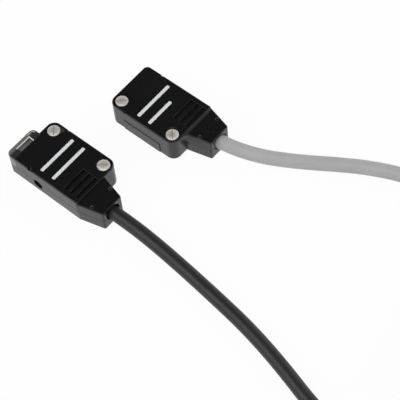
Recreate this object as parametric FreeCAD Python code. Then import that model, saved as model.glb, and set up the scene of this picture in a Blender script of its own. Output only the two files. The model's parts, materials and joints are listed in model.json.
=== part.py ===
import FreeCAD, Part
import math
import os

from FreeCAD import Vector

# A through-beam photoelectric sensor: a receiver and an emitter, each a small moulded
# housing on its own cable. Millimetres, +Z up. Both units lie on their backs with their
# beam axes along +Y, and the origin is on the base, at the middle of the two units.

# Housing of one unit, the same for both
body_width = 10.0
body_length = 14.5
body_height = 5.0
side_wall = 1.0
top_wall = 0.9
floor_wall = 0.8
part_line_height = 2.5
screw_corner_radius = 1.5
plain_corner_radius = 0.9
shoulder_corner_radius = 0.3
inner_corner_radius = 0.35
top_edge_radius = 0.2
base_edge_chamfer = 0.15
seam = 0.05
seam_groove = 0.1
cover_proud = 0.1

# Tapered cable boot
boot_length = 4.6
boot_tip_width = 4.5
boot_drop = 0.35
boot_ramp_start = 0.15
boot_ramp_length = 0.4
boot_corner_radius = 0.35
mouth_diameter = 3.1
mouth_lift = 0.25
mouth_depth = 1.4

# Screw bosses, at the two corners of one long side
boss_length = 3.2
boss_width = 3.1
screw_end_inset = 1.6
screw_side_inset = 1.65
screw_head_diameter = 2.3
screw_head_height = 1.0
screw_head_proud = 0.12
screw_head_crown = 0.2
screw_slot_width = 0.2
screw_slot_depth = 0.18
receiver_slot_turns = (130, 42)
emitter_slot_turns = (138, 50)
screw_diameter = 1.4
screw_tip_height = 0.3
counterbore_clearance = 0.15
screw_clearance = 0.05

# Marks moulded into the top
groove_count = 3
groove_width = 0.8
groove_pitch = 1.29
groove_first = 0.72
groove_start = 0.95
groove_length = 4.75
groove_depth = 0.5
notch_from_lens_end = 3.35
notch_run = 1.9
notch_reach = 0.65
notch_fall = 0.6
small_notch_share = 0.6
pin_mark_diameter = 0.8
pin_mark_floor = 0.4
pin_mark_depth = 0.12
pin_mark_from_shoulder = 2.2
pin_mark_side_inset = 0.6
gate_mark_radius = 1.7
gate_mark_depth = 0.06
gate_mark_from_tip = 1.3

# Round recess in the receiver's plain side
recess_diameter = 1.9
recess_depth = 0.5
recess_from_lens_end = 5.2
recess_height = 1.9

# Locating tongues of the back cover
tongue_thickness = 0.3
tongue_height = 0.5
tongue_end_gap = 0.9

# Optics
beam_height = 3.65
lens_block_from_screw_side = 3.5
lens_block_seat = 0.4
lens_block_reach = 1.6
lens_block_corner = 0.95
lens_edge_radius = 0.2
lens_dome_radius = 0.85
lens_dome_height = 0.2
lens_pocket_start = 1.98
lens_pocket_side = 1.55
lens_pocket_length = 1.5
lens_pocket_roof = 0.6
window_roof = 0.5
lens_flange = 0.2
lens_flange_thickness = 0.3

# Circuit board and what it carries
board_thickness = 0.6
board_clearance = 0.15
post_height = 0.3
post_diameter = 0.9
post_inset = 0.7
hold_down_width = 0.5
hold_down_length = 2.0
chip_size = 2.8
chip_height = 0.9
chip_edge_chamfer = 0.12
component_length = 1.0
component_width = 0.5
component_height = 0.45
diode_width = 1.7
optic_depth = 0.65
optic_gap = 0.15
optic_bead_radius = 0.35
lamp_width = 0.5
lamp_height = 0.4
lamp_gap = 0.045

# Cables
cable_diameter = 2.5
cable_side_inset = 3.45
anchor_diameter = 3.2
anchor_length = 0.8
anchor_from_shoulder = 1.1
receiver_cores = {"brown": -1, "blue": 0, "black": 1}
emitter_cores = {"brown": -0.5, "blue": 0.5}
core_diameter = 0.7
core_pitch = 0.76
core_length = 2.1
cable_inner_end = 0.9
bend_share = 0.45

# Put-away coil of each cable; a side is 1 where the cable turns to the right, -1 to the left
receiver_coil_side = -1
emitter_coil_side = 1
tie_thickness = 0.5
tie_width = 3.0
coil_mid_radius = 14.25
coil_columns = 4
coil_rows = 5
coil_pad = 0.1
coil_stub_length = 11.0
tail_length = 3.0
tail_sink = 0.2
top_turn_degrees = 280.0
tie_turn_degrees = 335.0
lead_length = 9.0
lead_tip_length = 3.0
lead_tip_diameter = 0.45

# Where the units lie
unit_spacing = 18.34
emitter_set_back = 5.06

# Hand-chosen cable points after the exits, on the surface that the units lie on
receiver_cable_points = [
    (-10.60, -11.3, 2.42),
    (-10.70, -17.1, 1.90),
    (-11.20, -23.9, 1.40),
    (-12.00, -31.0, 1.25),
    (-13.00, -38.2, 1.25),
    (-14.75, -45.9, 1.25),
    (-17.35, -54.6, 1.25),
    (-18.70, -64.5, 1.25),
    (-19.05, -74.8, 1.25),
    (-18.75, -85.3, 1.40),
    (-18.15, -96.0, 1.85),
    (-17.25, -106.6, 1.85),
]
emitter_cable_points = [
    (10.95, -14.0, 2.50),
    (11.80, -17.3, 2.35),
    (13.30, -20.8, 2.05),
    (15.50, -24.4, 1.70),
    (17.90, -27.9, 1.40),
    (20.25, -31.3, 1.25),
    (22.55, -35.2, 1.25),
    (24.75, -40.0, 1.25),
    (26.40, -45.8, 1.25),
    (27.20, -52.6, 1.40),
    (27.45, -59.5, 1.85),
    (27.50, -66.3, 1.85),
]

# Places that follow from the sizes above
lens_reach = lens_block_reach + lens_dome_height
total_length = lens_reach + body_length + emitter_set_back + boot_length
receiver_shoulder = total_length / 2 - lens_reach - body_length
emitter_shoulder = receiver_shoulder - emitter_set_back
unit_edge = unit_spacing / 2 + body_width / 2
boss_edge = body_width - boss_width
cover_edge = boss_edge - seam
boot_root_width = cover_edge
inner_edge = cover_edge - side_wall
lens_block_width = body_width - lens_block_from_screw_side
lens_pocket_end = lens_block_width - lens_pocket_side
lens_pocket_width = lens_pocket_end - lens_pocket_start
detector_width = lens_pocket_width - 2 * lamp_width - 4 * lamp_gap
board_tip = body_length + lens_block_reach - side_wall - board_clearance
boss_band = boss_length + seam + side_wall
ceiling = body_height - top_wall
boot_top = body_height - boot_drop
boot_tip_left = cable_side_inset - boot_tip_width / 2
boot_tip_right = cable_side_inset + boot_tip_width / 2
screw_x = body_width - screw_side_inset
screw_places = [(screw_x, screw_end_inset), (screw_x, body_length - screw_end_inset)]
counterbore_floor = body_height + screw_head_proud - screw_head_height
board_bottom = floor_wall + post_height
board_top = board_bottom + board_thickness
cable_radius = cable_diameter / 2
cable_height = part_line_height
exit_y = mouth_depth - boot_length
window_left = side_wall + inner_corner_radius + lens_flange
window_right = inner_edge - inner_corner_radius - lens_flange
window_top = body_height - window_roof
coil_half_width = coil_columns * cable_diameter / 2 + coil_pad
coil_height = coil_rows * cable_diameter + 2 * coil_pad
coil_top = tie_thickness + coil_height
top_turn_bottom = coil_top - tail_sink
top_turn_corner = cable_radius * (2 - math.sqrt(2))
outer_turn_radius = coil_mid_radius + (coil_columns - 1) * cable_diameter / 2
same_place = 1e-5


# Shape helpers

def box(low, high):
    size = Vector(*high) - Vector(*low)
    return Part.makeBox(size.x, size.y, size.z, Vector(*low))


def upright(x, y, bottom, top, diameter):
    return Part.makeCylinder(diameter / 2, top - bottom, Vector(x, y, bottom))


def along_y(x, z, start, end, diameter):
    return Part.makeCylinder(diameter / 2, end - start, Vector(x, start, z), Vector(0, 1, 0))


def joined(shapes):
    return shapes[0].multiFuse(shapes[1:]).removeSplitter()


def rounded_wire(corners):
    """Closed wire of straight sides and tangent arcs; each corner is a point and its radius."""
    ends = []
    edges = []
    count = len(corners)
    for index in range(count):
        point, radius = corners[index]
        before = (corners[index - 1][0] - point).normalize()
        after = (corners[(index + 1) % count][0] - point).normalize()
        if radius <= 0:
            ends.append((point, point))
            continue
        half_angle = before.getAngle(after) / 2
        reach = radius / math.tan(half_angle)
        bisector = (before + after).normalize()
        centre = point + bisector * (radius / math.sin(half_angle))
        start = point + before * reach
        end = point + after * reach
        edges.append(Part.Arc(start, centre - bisector * radius, end).toShape())
        ends.append((start, end))
    for index in range(count):
        start = ends[index - 1][1]
        end = ends[index][0]
        if (end - start).Length > same_place:
            edges.append(Part.LineSegment(start, end).toShape())
    return Part.Wire(Part.__sortEdges__(edges))


def prism(corners, bottom, top):
    flat = [(Vector(x, y, bottom), radius) for x, y, radius in corners]
    return Part.Face(rounded_wire(flat)).extrude(Vector(0, 0, top - bottom))


def edges_at_height(shape, height):
    found = []
    for edge in shape.Edges:
        lowest = abs(edge.BoundBox.ZMin - height)
        highest = abs(edge.BoundBox.ZMax - height)
        if max(lowest, highest) < same_place:
            found.append(edge)
    return found


# Outlines of the housing, seen from above

def boot_corners():
    return [
        (boot_tip_left, -boot_length, boot_corner_radius),
        (boot_tip_right, -boot_length, boot_corner_radius),
    ]


def cover_corners(is_receiver):
    outer = body_width + cover_proud
    first = boss_length + seam
    last = body_length - first
    if is_receiver:
        front = body_length + lens_block_reach
        lens_end = [
            (cover_edge, body_length, 0),
            (lens_block_width, body_length, 0),
            (lens_block_width, front, lens_block_corner),
            (0, front, lens_block_corner),
        ]
    else:
        lens_end = [(cover_edge, body_length, 0), (0, body_length, plain_corner_radius)]
    return [
        *lens_end,
        (0, 0, 0),
        *boot_corners(),
        (cover_edge, 0, 0),
        (cover_edge, first, 0),
        (outer, first, 0),
        (outer, last, 0),
        (cover_edge, last, 0),
    ]


def inside_corners(gap, front, front_edge):
    """Outline of the hollow, drawn in by a gap; the front part may be narrower."""
    radius = inner_corner_radius
    left = side_wall + gap
    right = body_width - side_wall - gap
    narrow = inner_edge - gap
    low = boss_band + gap
    high = body_length - boss_band - gap
    corners = [
        (left, front - gap, radius),
        (left, side_wall + gap, radius),
        (narrow, side_wall + gap, radius),
        (narrow, low, 0),
        (right, low, radius),
        (right, high, radius),
        (narrow, high, 0),
    ]
    if front_edge < inner_edge:
        step = body_length - side_wall - gap
        corners += [(narrow, step, 0), (front_edge - gap, step, 0)]
    corners.append((min(narrow, front_edge - gap), front - gap, radius))
    return corners


# Housing pieces

def cable_way():
    """Space that the cable takes in the boot: its bore, the anchor's groove and the wider mouth."""
    bore = along_y(cable_side_inset, cable_height, -boot_length, side_wall, cable_diameter)
    mouth_height = cable_height + mouth_lift
    mouth = along_y(cable_side_inset, mouth_height, -boot_length, exit_y, mouth_diameter)
    return [bore, anchor_ring(), mouth]


def anchor_ring():
    start = -anchor_from_shoulder - anchor_length
    return along_y(cable_side_inset, cable_height, start, -anchor_from_shoulder, anchor_diameter)


def side_recess():
    """Round blind recess in the receiver's plain side, across the parting line."""
    middle = Vector(0, body_length - recess_from_lens_end, recess_height)
    return Part.makeCylinder(recess_diameter / 2, recess_depth, middle, Vector(1, 0, 0))


def edge_notch(edge_x, inwards, share):
    """Four-cornered cut that slants along a long top edge, at a share of its full size."""
    notch_y = body_length - notch_from_lens_end
    corners = [
        Vector(edge_x, notch_y, body_height),
        Vector(edge_x + inwards * share * notch_reach, notch_y, body_height),
        Vector(edge_x, notch_y - share * notch_run, body_height),
        Vector(edge_x, notch_y, body_height - share * notch_fall),
    ]
    faces = []
    for left_out in corners:
        three = [corner for corner in corners if corner is not left_out]
        faces.append(Part.Face(Part.makePolygon(three + three[:1])))
    return Part.Solid(Part.Shell(faces))


def tongues(gap):
    """Strips that stand on the back cover and slide inside the case's two long walls."""
    top = part_line_height + tongue_height + gap
    bottom = part_line_height
    low = boss_band + tongue_end_gap - gap
    high = body_length - boss_band - tongue_end_gap + gap
    left = side_wall - tongue_thickness
    right = body_width - side_wall + tongue_thickness
    return [
        box((left - gap, low, bottom), (side_wall, high, top)),
        box((body_width - side_wall, low, bottom), (right + gap, high, top)),
    ]


def body_corners(is_receiver):
    """Outline of the body; the receiver's plain corner is square, as its clear block goes on from there."""
    return [
        (0, body_length, 0 if is_receiver else plain_corner_radius),
        (0, 0, shoulder_corner_radius),
        (body_width, 0, screw_corner_radius),
        (body_width, body_length, screw_corner_radius),
    ]


def case_blank(is_receiver):
    """Upper moulding before it is hollowed: the body and the lower boot, with a ramp on the emitter."""
    body = prism(body_corners(is_receiver), part_line_height, body_height)
    body = body.makeFillet(top_edge_radius, edges_at_height(body, body_height))
    boot_outline = [
        (side_wall, side_wall, 0),
        (0, 0, 0),
        *boot_corners(),
        (boot_root_width, 0, 0),
        (inner_edge, side_wall, 0),
    ]
    boot = prism(boot_outline, part_line_height, boot_top)
    rims = [edge for edge in edges_at_height(boot, boot_top) if edge.BoundBox.YMax < same_place]
    boot = boot.makeFillet(top_edge_radius, rims)
    if is_receiver:
        return joined([body, boot])
    ramp_end = boot_ramp_start - boot_ramp_length
    left = top_edge_radius
    points = [
        Vector(left, boot_ramp_start, body_height),
        Vector(left, ramp_end, boot_top),
        Vector(left, ramp_end, boot_top - boot_drop),
        Vector(left, boot_ramp_start, boot_top - boot_drop),
    ]
    face = Part.Face(Part.makePolygon(points + points[:1]))
    ramp = face.extrude(Vector(boot_root_width - 2 * top_edge_radius, 0, 0))
    return joined([body, boot, ramp])


def top_marks():
    """Grooves, ejector marks and gate dimple that are moulded into the top."""
    marks = []
    for index in range(groove_count):
        middle = groove_first + index * groove_pitch
        low = (groove_start, middle - groove_width / 2, body_height - groove_depth)
        high = (groove_start + groove_length, middle + groove_width / 2, body_height + groove_depth)
        marks.append(box(low, high))
    taper = (boot_root_width - boot_tip_right) / boot_length
    left_pin = boot_tip_left * pin_mark_from_shoulder / boot_length + pin_mark_side_inset
    right_pin = boot_root_width - taper * pin_mark_from_shoulder - pin_mark_side_inset
    for pin_x in (left_pin, right_pin):
        floor = Vector(pin_x, -pin_mark_from_shoulder, boot_top - pin_mark_depth)
        marks.append(Part.makeCone(pin_mark_floor / 2, pin_mark_diameter / 2, pin_mark_depth, floor))
    dimple_y = gate_mark_from_tip - boot_length
    dimple = Vector(cable_side_inset, dimple_y, boot_top + gate_mark_radius - gate_mark_depth)
    marks.append(Part.makeSphere(gate_mark_radius, dimple))
    return marks


def screw_holes():
    holes = []
    head_hole = screw_head_diameter + 2 * counterbore_clearance
    shank_hole = screw_diameter + 2 * screw_clearance
    for x, y in screw_places:
        holes.append(upright(x, y, counterbore_floor, 2 * body_height, head_hole))
        holes.append(upright(x, y, -body_height, counterbore_floor, shank_hole))
    return holes


def bosses():
    radius = screw_corner_radius
    near = [
        (boss_edge, 0, 0),
        (body_width, 0, radius),
        (body_width, boss_length, 0),
        (boss_edge, boss_length, 0),
    ]
    far = [
        (boss_edge, body_length - boss_length, 0),
        (body_width, body_length - boss_length, 0),
        (body_width, body_length, radius),
        (boss_edge, body_length, 0),
    ]
    blocks = []
    for corners in (near, far):
        block = prism(corners, 0, part_line_height)
        blocks.append(block.makeChamfer(base_edge_chamfer, edges_at_height(block, 0)))
    return blocks


def hold_downs():
    """Blocks under the ceiling that keep the circuit board on its posts."""
    middle = body_length / 2
    low_y = middle - hold_down_length / 2
    high_y = middle + hold_down_length / 2
    left = side_wall + board_clearance
    right = body_width - side_wall - board_clearance
    return [
        box((left, low_y, board_top), (left + hold_down_width, high_y, ceiling)),
        box((right - hold_down_width, low_y, board_top), (right, high_y, ceiling)),
    ]


def lens_block_corners():
    rear = body_length - lens_block_seat
    front = body_length + lens_block_reach
    return [
        (0, rear, 0),
        (lens_block_width, rear, 0),
        (lens_block_width, front, lens_block_corner),
        (0, front, lens_block_corner),
    ]


def case(is_receiver):
    """Upper moulding: top and upper side walls, two full-height bosses and the upper half of the boot."""
    shell = case_blank(is_receiver)
    front = body_length - (lens_block_seat if is_receiver else side_wall)
    hollow = prism(inside_corners(0, front, inner_edge), part_line_height, ceiling)
    shell = shell.cut(hollow)
    shell = joined([shell, *bosses(), *hold_downs()])
    cuts = tongues(seam) + cable_way() + top_marks() + screw_holes()
    cuts.append(edge_notch(0, 1, 1 if is_receiver else small_notch_share))
    cuts.append(edge_notch(body_width, -1, small_notch_share))
    if is_receiver:
        cuts.append(prism(lens_block_corners(), part_line_height, 2 * body_height))
        cuts.append(side_recess())
    else:
        cuts.append(box((window_left, body_length - 2 * side_wall, part_line_height),
                        (window_right, 2 * body_length, window_top)))
    return shell.cut(cuts)


def back_cover(is_receiver):
    """Lower moulding that fits between the bosses, with board posts and locating tongues."""
    plate = prism(cover_corners(is_receiver), 0, part_line_height)
    plate = plate.makeChamfer(base_edge_chamfer, edges_at_height(plate, 0))
    plate = plate.makeChamfer(seam_groove, edges_at_height(plate, part_line_height))
    if is_receiver:
        front = body_length + lens_block_reach - side_wall
        front_edge = lens_block_width - side_wall
    else:
        front = body_length - side_wall
        front_edge = inner_edge
    hollow = prism(inside_corners(0, front, front_edge), floor_wall, 2 * body_height)
    plate = plate.cut(hollow)
    posts = []
    for x in (side_wall + post_inset, inner_edge - post_inset):
        for y in (side_wall + post_inset, body_length - side_wall - post_inset):
            posts.append(upright(x, y, floor_wall, board_bottom, post_diameter))
    plate = joined([plate, *posts, *tongues(0)])
    cuts = cable_way()
    if is_receiver:
        cuts.append(side_recess())
    return plate.cut(cuts)


# Optical pieces

def dome(front):
    """Shallow lens surface that stands on a front face."""
    sphere_radius = (lens_dome_radius ** 2 + lens_dome_height ** 2) / (2 * lens_dome_height)
    centre = Vector(cable_side_inset, front + lens_dome_height - sphere_radius, beam_height)
    ball = Part.makeSphere(sphere_radius, centre)
    keep = box((0, front, 0), (body_width, front + lens_dome_height, body_height))
    return ball.common(keep)


def receiver_lens():
    """Clear block at the receiver's tip, with its lens and the pocket over the detector and lamps."""
    front = body_length + lens_block_reach
    block = prism(lens_block_corners(), part_line_height, body_height)
    rear_y = body_length - lens_block_seat
    top_edges = edges_at_height(block, body_height)
    rims = [edge for edge in top_edges if edge.BoundBox.YMax > rear_y + same_place]
    block = block.makeFillet(lens_edge_radius, rims)
    pocket_front = rear_y + lens_pocket_length
    pocket = box((lens_pocket_start, rear_y - side_wall, 0),
                 (lens_pocket_end, pocket_front, body_height - lens_pocket_roof))
    return joined([block, dome(front)]).cut(pocket)


def emitter_lens():
    """Lens in the emitter's end wall, flush at its crown, with a flange behind the wall."""
    front = body_length - lens_dome_height
    rear = body_length - side_wall
    block = box((window_left, rear, part_line_height), (window_right, front, window_top))
    flange = box((window_left - lens_flange, rear - lens_flange_thickness, part_line_height),
                 (window_right + lens_flange, rear, ceiling))
    return joined([block, flange, dome(front)])


# Circuit board and its parts

def circuit_board(is_receiver):
    front = body_length - side_wall
    board = prism(inside_corners(board_clearance, front, inner_edge), board_bottom, board_top)
    if is_receiver:
        arm = box((lens_pocket_start, front - side_wall, board_bottom),
                  (lens_pocket_end, board_tip, board_top))
        board = joined([board, arm])
    return board


def optic(is_receiver):
    """Detector or light-emitting diode, a side-looking package with a small dome towards the lens."""
    if is_receiver:
        middle = (lens_pocket_start + lens_pocket_end) / 2
        half = detector_width / 2
        front = board_tip
        top = body_height - lens_pocket_roof - optic_gap
    else:
        middle = cable_side_inset
        half = diode_width / 2
        front = body_length - side_wall - lens_flange_thickness - 2 * optic_gap
        top = ceiling - optic_gap
    package = box((middle - half, front - optic_depth, board_top), (middle + half, front, top))
    bead_middle = Vector(middle, front + optic_gap - optic_bead_radius, beam_height)
    return joined([package, Part.makeSphere(optic_bead_radius, bead_middle)])


def signal_chip():
    half = chip_size / 2
    hold_down_edge = body_width - side_wall - board_clearance - hold_down_width
    middle_x = hold_down_edge - 2 * board_clearance - half
    middle_y = body_length / 2
    corners = [
        (middle_x - half, middle_y - half, 0),
        (middle_x + half, middle_y - half, 0),
        (middle_x + half, middle_y + half, 0),
        (middle_x - half, middle_y + half, 0),
    ]
    top = board_top + chip_height
    chip = prism(corners, board_top, top)
    return chip.makeChamfer(chip_edge_chamfer, edges_at_height(chip, top))


def chip_components():
    """Small resistors and capacitors in two rows along the board's narrow part."""
    pieces = []
    first_x = side_wall + board_clearance + 2 * component_width
    for x in (first_x, first_x + 2 * component_length):
        for y in (boss_band, body_length - boss_band):
            low = (x, y - component_width / 2, board_top)
            high = (x + component_length, y + component_width / 2, board_top + component_height)
            pieces.append(box(low, high))
    return Part.makeCompound(pieces)


def indicator_lamp(is_left):
    """One lamp chip of the receiver, beside the detector under the clear block."""
    rear = body_length - lens_block_seat + optic_gap
    left = lens_pocket_start + lamp_gap
    if not is_left:
        left = lens_pocket_end - lamp_gap - lamp_width
    return box((left, rear, board_top), (left + lamp_width, rear + lamp_width, board_top + lamp_height))


# Cable inside the housing

def cable_end():
    """End of the jacket inside the boot, with the anchor ring moulded round it."""
    jacket = along_y(cable_side_inset, cable_height, exit_y, cable_inner_end, cable_diameter)
    return joined([jacket, anchor_ring()])


def core(place):
    """One insulated core from the jacket's end to the board; place counts pitches from the middle."""
    x = cable_side_inset + place * core_pitch
    z = board_top + core_diameter / 2
    return along_y(x, z, cable_inner_end, cable_inner_end + core_length, core_diameter)


def mounting_screws(slot_turns):
    """Slotted screws of one unit, with crowned heads; each slot is turned by its own angle from +X."""
    screws = []
    head_top = body_height + screw_head_proud
    head_radius = screw_head_diameter / 2
    crown_radius = (head_radius ** 2 + screw_head_crown ** 2) / (2 * screw_head_crown)
    for (x, y), turn in zip(screw_places, slot_turns):
        head = upright(x, y, counterbore_floor, head_top, screw_head_diameter)
        head = head.common(Part.makeSphere(crown_radius, Vector(x, y, head_top - crown_radius)))
        shank = upright(x, y, screw_tip_height, counterbore_floor, screw_diameter)
        half = screw_slot_width / 2
        slot = box((x - screw_head_diameter, y - half, head_top - screw_slot_depth),
                   (x + screw_head_diameter, y + half, 2 * body_height))
        slot.rotate(Vector(x, y, 0), Vector(0, 0, 1), turn)
        screws.append(joined([head, shank]).cut(slot))
    return Part.makeCompound(screws)


# Cable outside the housing

def cord_wire(points, name):
    """Straight runs joined by tangent arcs, each as large as its two runs allow."""
    edges = []
    start = points[0]
    for index in range(1, len(points) - 1):
        before = points[index - 1] - points[index]
        after = points[index + 1] - points[index]
        shorter = min(before.Length, after.Length)
        before.normalize()
        after.normalize()
        half_turn = (math.pi - before.getAngle(after)) / 2
        reach = bend_share * shorter
        radius = reach / math.tan(half_turn)
        print(name, "bend", index, "radius", round(radius, 1))
        arc_start = points[index] + before * reach
        arc_end = points[index] + after * reach
        bisector = (before + after).normalize()
        middle = points[index] + bisector * (radius / math.cos(half_turn) - radius)
        edges.append(Part.LineSegment(start, arc_start).toShape())
        edges.append(Part.Arc(arc_start, middle, arc_end).toShape())
        start = arc_end
    edges.append(Part.LineSegment(start, points[-1]).toShape())
    wire = Part.Wire(edges)
    print(name, "tube length", round(wire.Length, 1))
    return wire


def cord_tube(points, name):
    """Round tube along a route, squared off at the exit from the boot."""
    exit_point = points[0]
    direction = (points[1] - exit_point).normalize()
    behind = exit_point - direction * cable_radius
    wire = cord_wire([behind] + points[1:], name)
    circle = Part.Wire(Part.makeCircle(cable_radius, behind, direction))
    tube = wire.makePipeShell([circle], True, False)
    section = math.pi * cable_radius ** 2
    print(name, "volume ratio", round(tube.Volume / (section * wire.Length), 4))
    reach = 2 * cable_diameter
    housing_side = box((exit_point.x - reach, exit_point.y, exit_point.z - reach),
                       (exit_point.x + reach, exit_point.y + reach, exit_point.z + reach))
    return tube.cut(housing_side)


class Coil:
    """Put-away coil that the last run of a route leads into, turning to one side."""

    def __init__(self, points, side):
        heading = points[-1] - points[-2]
        self.side = side
        self.heading = Vector(heading.x, heading.y, 0).normalize()
        self.entry = points[-1]
        inwards = Vector(self.heading.y, -self.heading.x, 0) * side
        self.centre = self.entry + self.heading * coil_stub_length + inwards * outer_turn_radius
        self.centre.z = 0
        self.start_turn = math.degrees(math.atan2(-inwards.y, -inwards.x))

    def turned(self, turn_degrees):
        """Direction, in degrees from +X, of a turn counted from where the cable runs on to the coil."""
        return self.start_turn - self.side * turn_degrees

    def at(self, turn_degrees, radius, height):
        turn = math.radians(self.turned(turn_degrees))
        return self.centre + Vector(radius * math.cos(turn), radius * math.sin(turn), height)

    def tail_start(self):
        """Point of the last turn, which lies on the coil, where the straight tail begins."""
        return self.at(top_turn_degrees, coil_mid_radius, top_turn_bottom + cable_radius)

    def tail_direction(self):
        turn = math.radians(self.turned(top_turn_degrees))
        return Vector(math.sin(turn), -math.cos(turn), 0) * self.side

    def bundle(self, half_width, bottom, top, corner, turn_degrees):
        """Outer shape of turns that lie together, eight-sided in section."""
        inner = coil_mid_radius - half_width
        outer = coil_mid_radius + half_width
        section = Part.makePolygon([
            Vector(inner + corner, 0, bottom),
            Vector(outer - corner, 0, bottom),
            Vector(outer, 0, bottom + corner),
            Vector(outer, 0, top - corner),
            Vector(outer - corner, 0, top),
            Vector(inner + corner, 0, top),
            Vector(inner, 0, top - corner),
            Vector(inner, 0, bottom + corner),
            Vector(inner + corner, 0, bottom),
        ])
        turns = Part.Face(section).revolve(Vector(), Vector(0, 0, 1), turn_degrees)
        turns.rotate(Vector(), Vector(0, 0, 1), min(self.turned(0), self.turned(turn_degrees)))
        turns.translate(self.centre)
        return turns

    def solid(self):
        """All the turns, with the stretch that runs on to them and the last turn on top."""
        ring = self.bundle(coil_half_width, tie_thickness, coil_top, cable_radius + coil_pad, 360)
        top_turn = self.bundle(cable_radius, top_turn_bottom, top_turn_bottom + cable_diameter,
                               top_turn_corner, top_turn_degrees)
        stub = Part.makeCylinder(cable_radius, coil_stub_length, self.entry, self.heading)
        return joined([ring, stub, top_turn])

    def tie(self):
        """Flat strap round the bundle of turns."""
        low = coil_mid_radius - coil_half_width - tie_thickness
        high = coil_mid_radius + coil_half_width + tie_thickness
        strap = box((low, -tie_width / 2, 0), (high, tie_width / 2, coil_top + tie_thickness))
        strap.rotate(Vector(), Vector(0, 0, 1), self.turned(tie_turn_degrees))
        strap.translate(self.centre)
        return strap.cut(self.solid())

    def tail(self):
        """Last straight stretch of the jacket, lying on the coil."""
        jacket = Part.makeCylinder(cable_radius, tail_length, self.tail_start(), self.tail_direction())
        return jacket.cut(self.solid())

    def lead(self, place):
        """Insulated core that comes out of the tail; place counts pitches from the middle."""
        direction = self.tail_direction()
        return Part.makeCylinder(core_diameter / 2, lead_length, self.lead_start(place), direction)

    def lead_tips(self, places):
        """Bare ends of the cores."""
        direction = self.tail_direction()
        tips = []
        for place in places:
            start = self.lead_start(place) + direction * lead_length
            tips.append(Part.makeCylinder(lead_tip_diameter / 2, lead_tip_length, start, direction))
        return Part.makeCompound(tips)

    def lead_start(self, place):
        direction = self.tail_direction()
        across = Vector(-direction.y, direction.x, 0) * (place * core_pitch)
        return self.tail_start() + direction * tail_length + across


# The two units, in their places

def receiver_place(shape):
    moved = shape.copy()
    moved.translate(Vector(-unit_edge, receiver_shoulder, 0))
    return moved


def emitter_place(shape):
    moved = shape.mirror(Vector(0, 0, 0), Vector(1, 0, 0))
    moved.translate(Vector(unit_edge, emitter_shoulder, 0))
    return moved


def cable_pieces(unit, exit_point, route, cores, coil_side):
    points = [exit_point] + [Vector(*point) for point in route]
    coil = Coil(points, coil_side)
    pieces = {
        unit + "_cable": cord_tube(points, unit + " cable"),
        unit + "_cable_coil": coil.solid(),
        unit + "_cable_tie": coil.tie(),
        unit + "_cable_tail": coil.tail(),
        unit + "_lead_tips": coil.lead_tips(cores.values()),
    }
    for colour, place in cores.items():
        pieces[unit + "_lead_" + colour] = coil.lead(place)
    return pieces


def receiver_pieces():
    local = {
        "receiver_case": case(True),
        "receiver_back_cover": back_cover(True),
        "receiver_lens_block": receiver_lens(),
        "receiver_circuit_board": circuit_board(True),
        "receiver_photodetector": optic(True),
        "receiver_amplifier_chip": signal_chip(),
        "receiver_chip_components": chip_components(),
        "receiver_operation_lamp": indicator_lamp(True),
        "receiver_stability_lamp": indicator_lamp(False),
        "receiver_cable_end": cable_end(),
        "receiver_mounting_screws": mounting_screws(receiver_slot_turns),
    }
    for colour, place in receiver_cores.items():
        local["receiver_core_" + colour] = core(place)
    pieces = {name: receiver_place(shape) for name, shape in local.items()}
    exit_point = Vector(cable_side_inset - unit_edge, receiver_shoulder + exit_y, cable_height)
    pieces.update(cable_pieces(
        "receiver", exit_point, receiver_cable_points, receiver_cores, receiver_coil_side))
    return pieces


def emitter_pieces():
    local = {
        "emitter_case": case(False),
        "emitter_back_cover": back_cover(False),
        "emitter_lens": emitter_lens(),
        "emitter_circuit_board": circuit_board(False),
        "emitter_light_diode": optic(False),
        "emitter_driver_chip": signal_chip(),
        "emitter_chip_components": chip_components(),
        "emitter_cable_end": cable_end(),
        "emitter_mounting_screws": mounting_screws(emitter_slot_turns),
    }
    for colour, place in emitter_cores.items():
        local["emitter_core_" + colour] = core(place)
    pieces = {name: emitter_place(shape) for name, shape in local.items()}
    exit_point = Vector(unit_edge - cable_side_inset, emitter_shoulder + exit_y, cable_height)
    pieces.update(cable_pieces(
        "emitter", exit_point, emitter_cable_points, emitter_cores, emitter_coil_side))
    return pieces


os.makedirs("parts", exist_ok=True)
for name, shape in {**receiver_pieces(), **emitter_pieces()}.items():
    if not shape.isValid():
        raise ValueError("not a valid shape: " + name)
    shape.exportStep("parts/" + name + ".step")
    bounds = shape.BoundBox
    low = [round(value, 2) for value in (bounds.XMin, bounds.YMin, bounds.ZMin)]
    high = [round(value, 2) for value in (bounds.XMax, bounds.YMax, bounds.ZMax)]
    print(name, "solids", len(shape.Solids), "volume", round(shape.Volume, 2), "from", low, "to", high)
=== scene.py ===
# %% [markdown]
# # A through-beam photoelectric sensor
# The sensor is a pair of flat black housings, a receiver and an emitter, each on its own
# 2 m cable. Their construction comes from the CAD model, which is loaded here as a fixed
# frame in metres. This lesson dresses it: the camera and the light first, then each finish,
# then the cases, screws, clear block and print, and last the cables with their tied coils.

# %% Load the CAD frame
import json
import math
import bmesh
import bpy
from mathutils import Matrix, Quaternion, Vector


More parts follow.
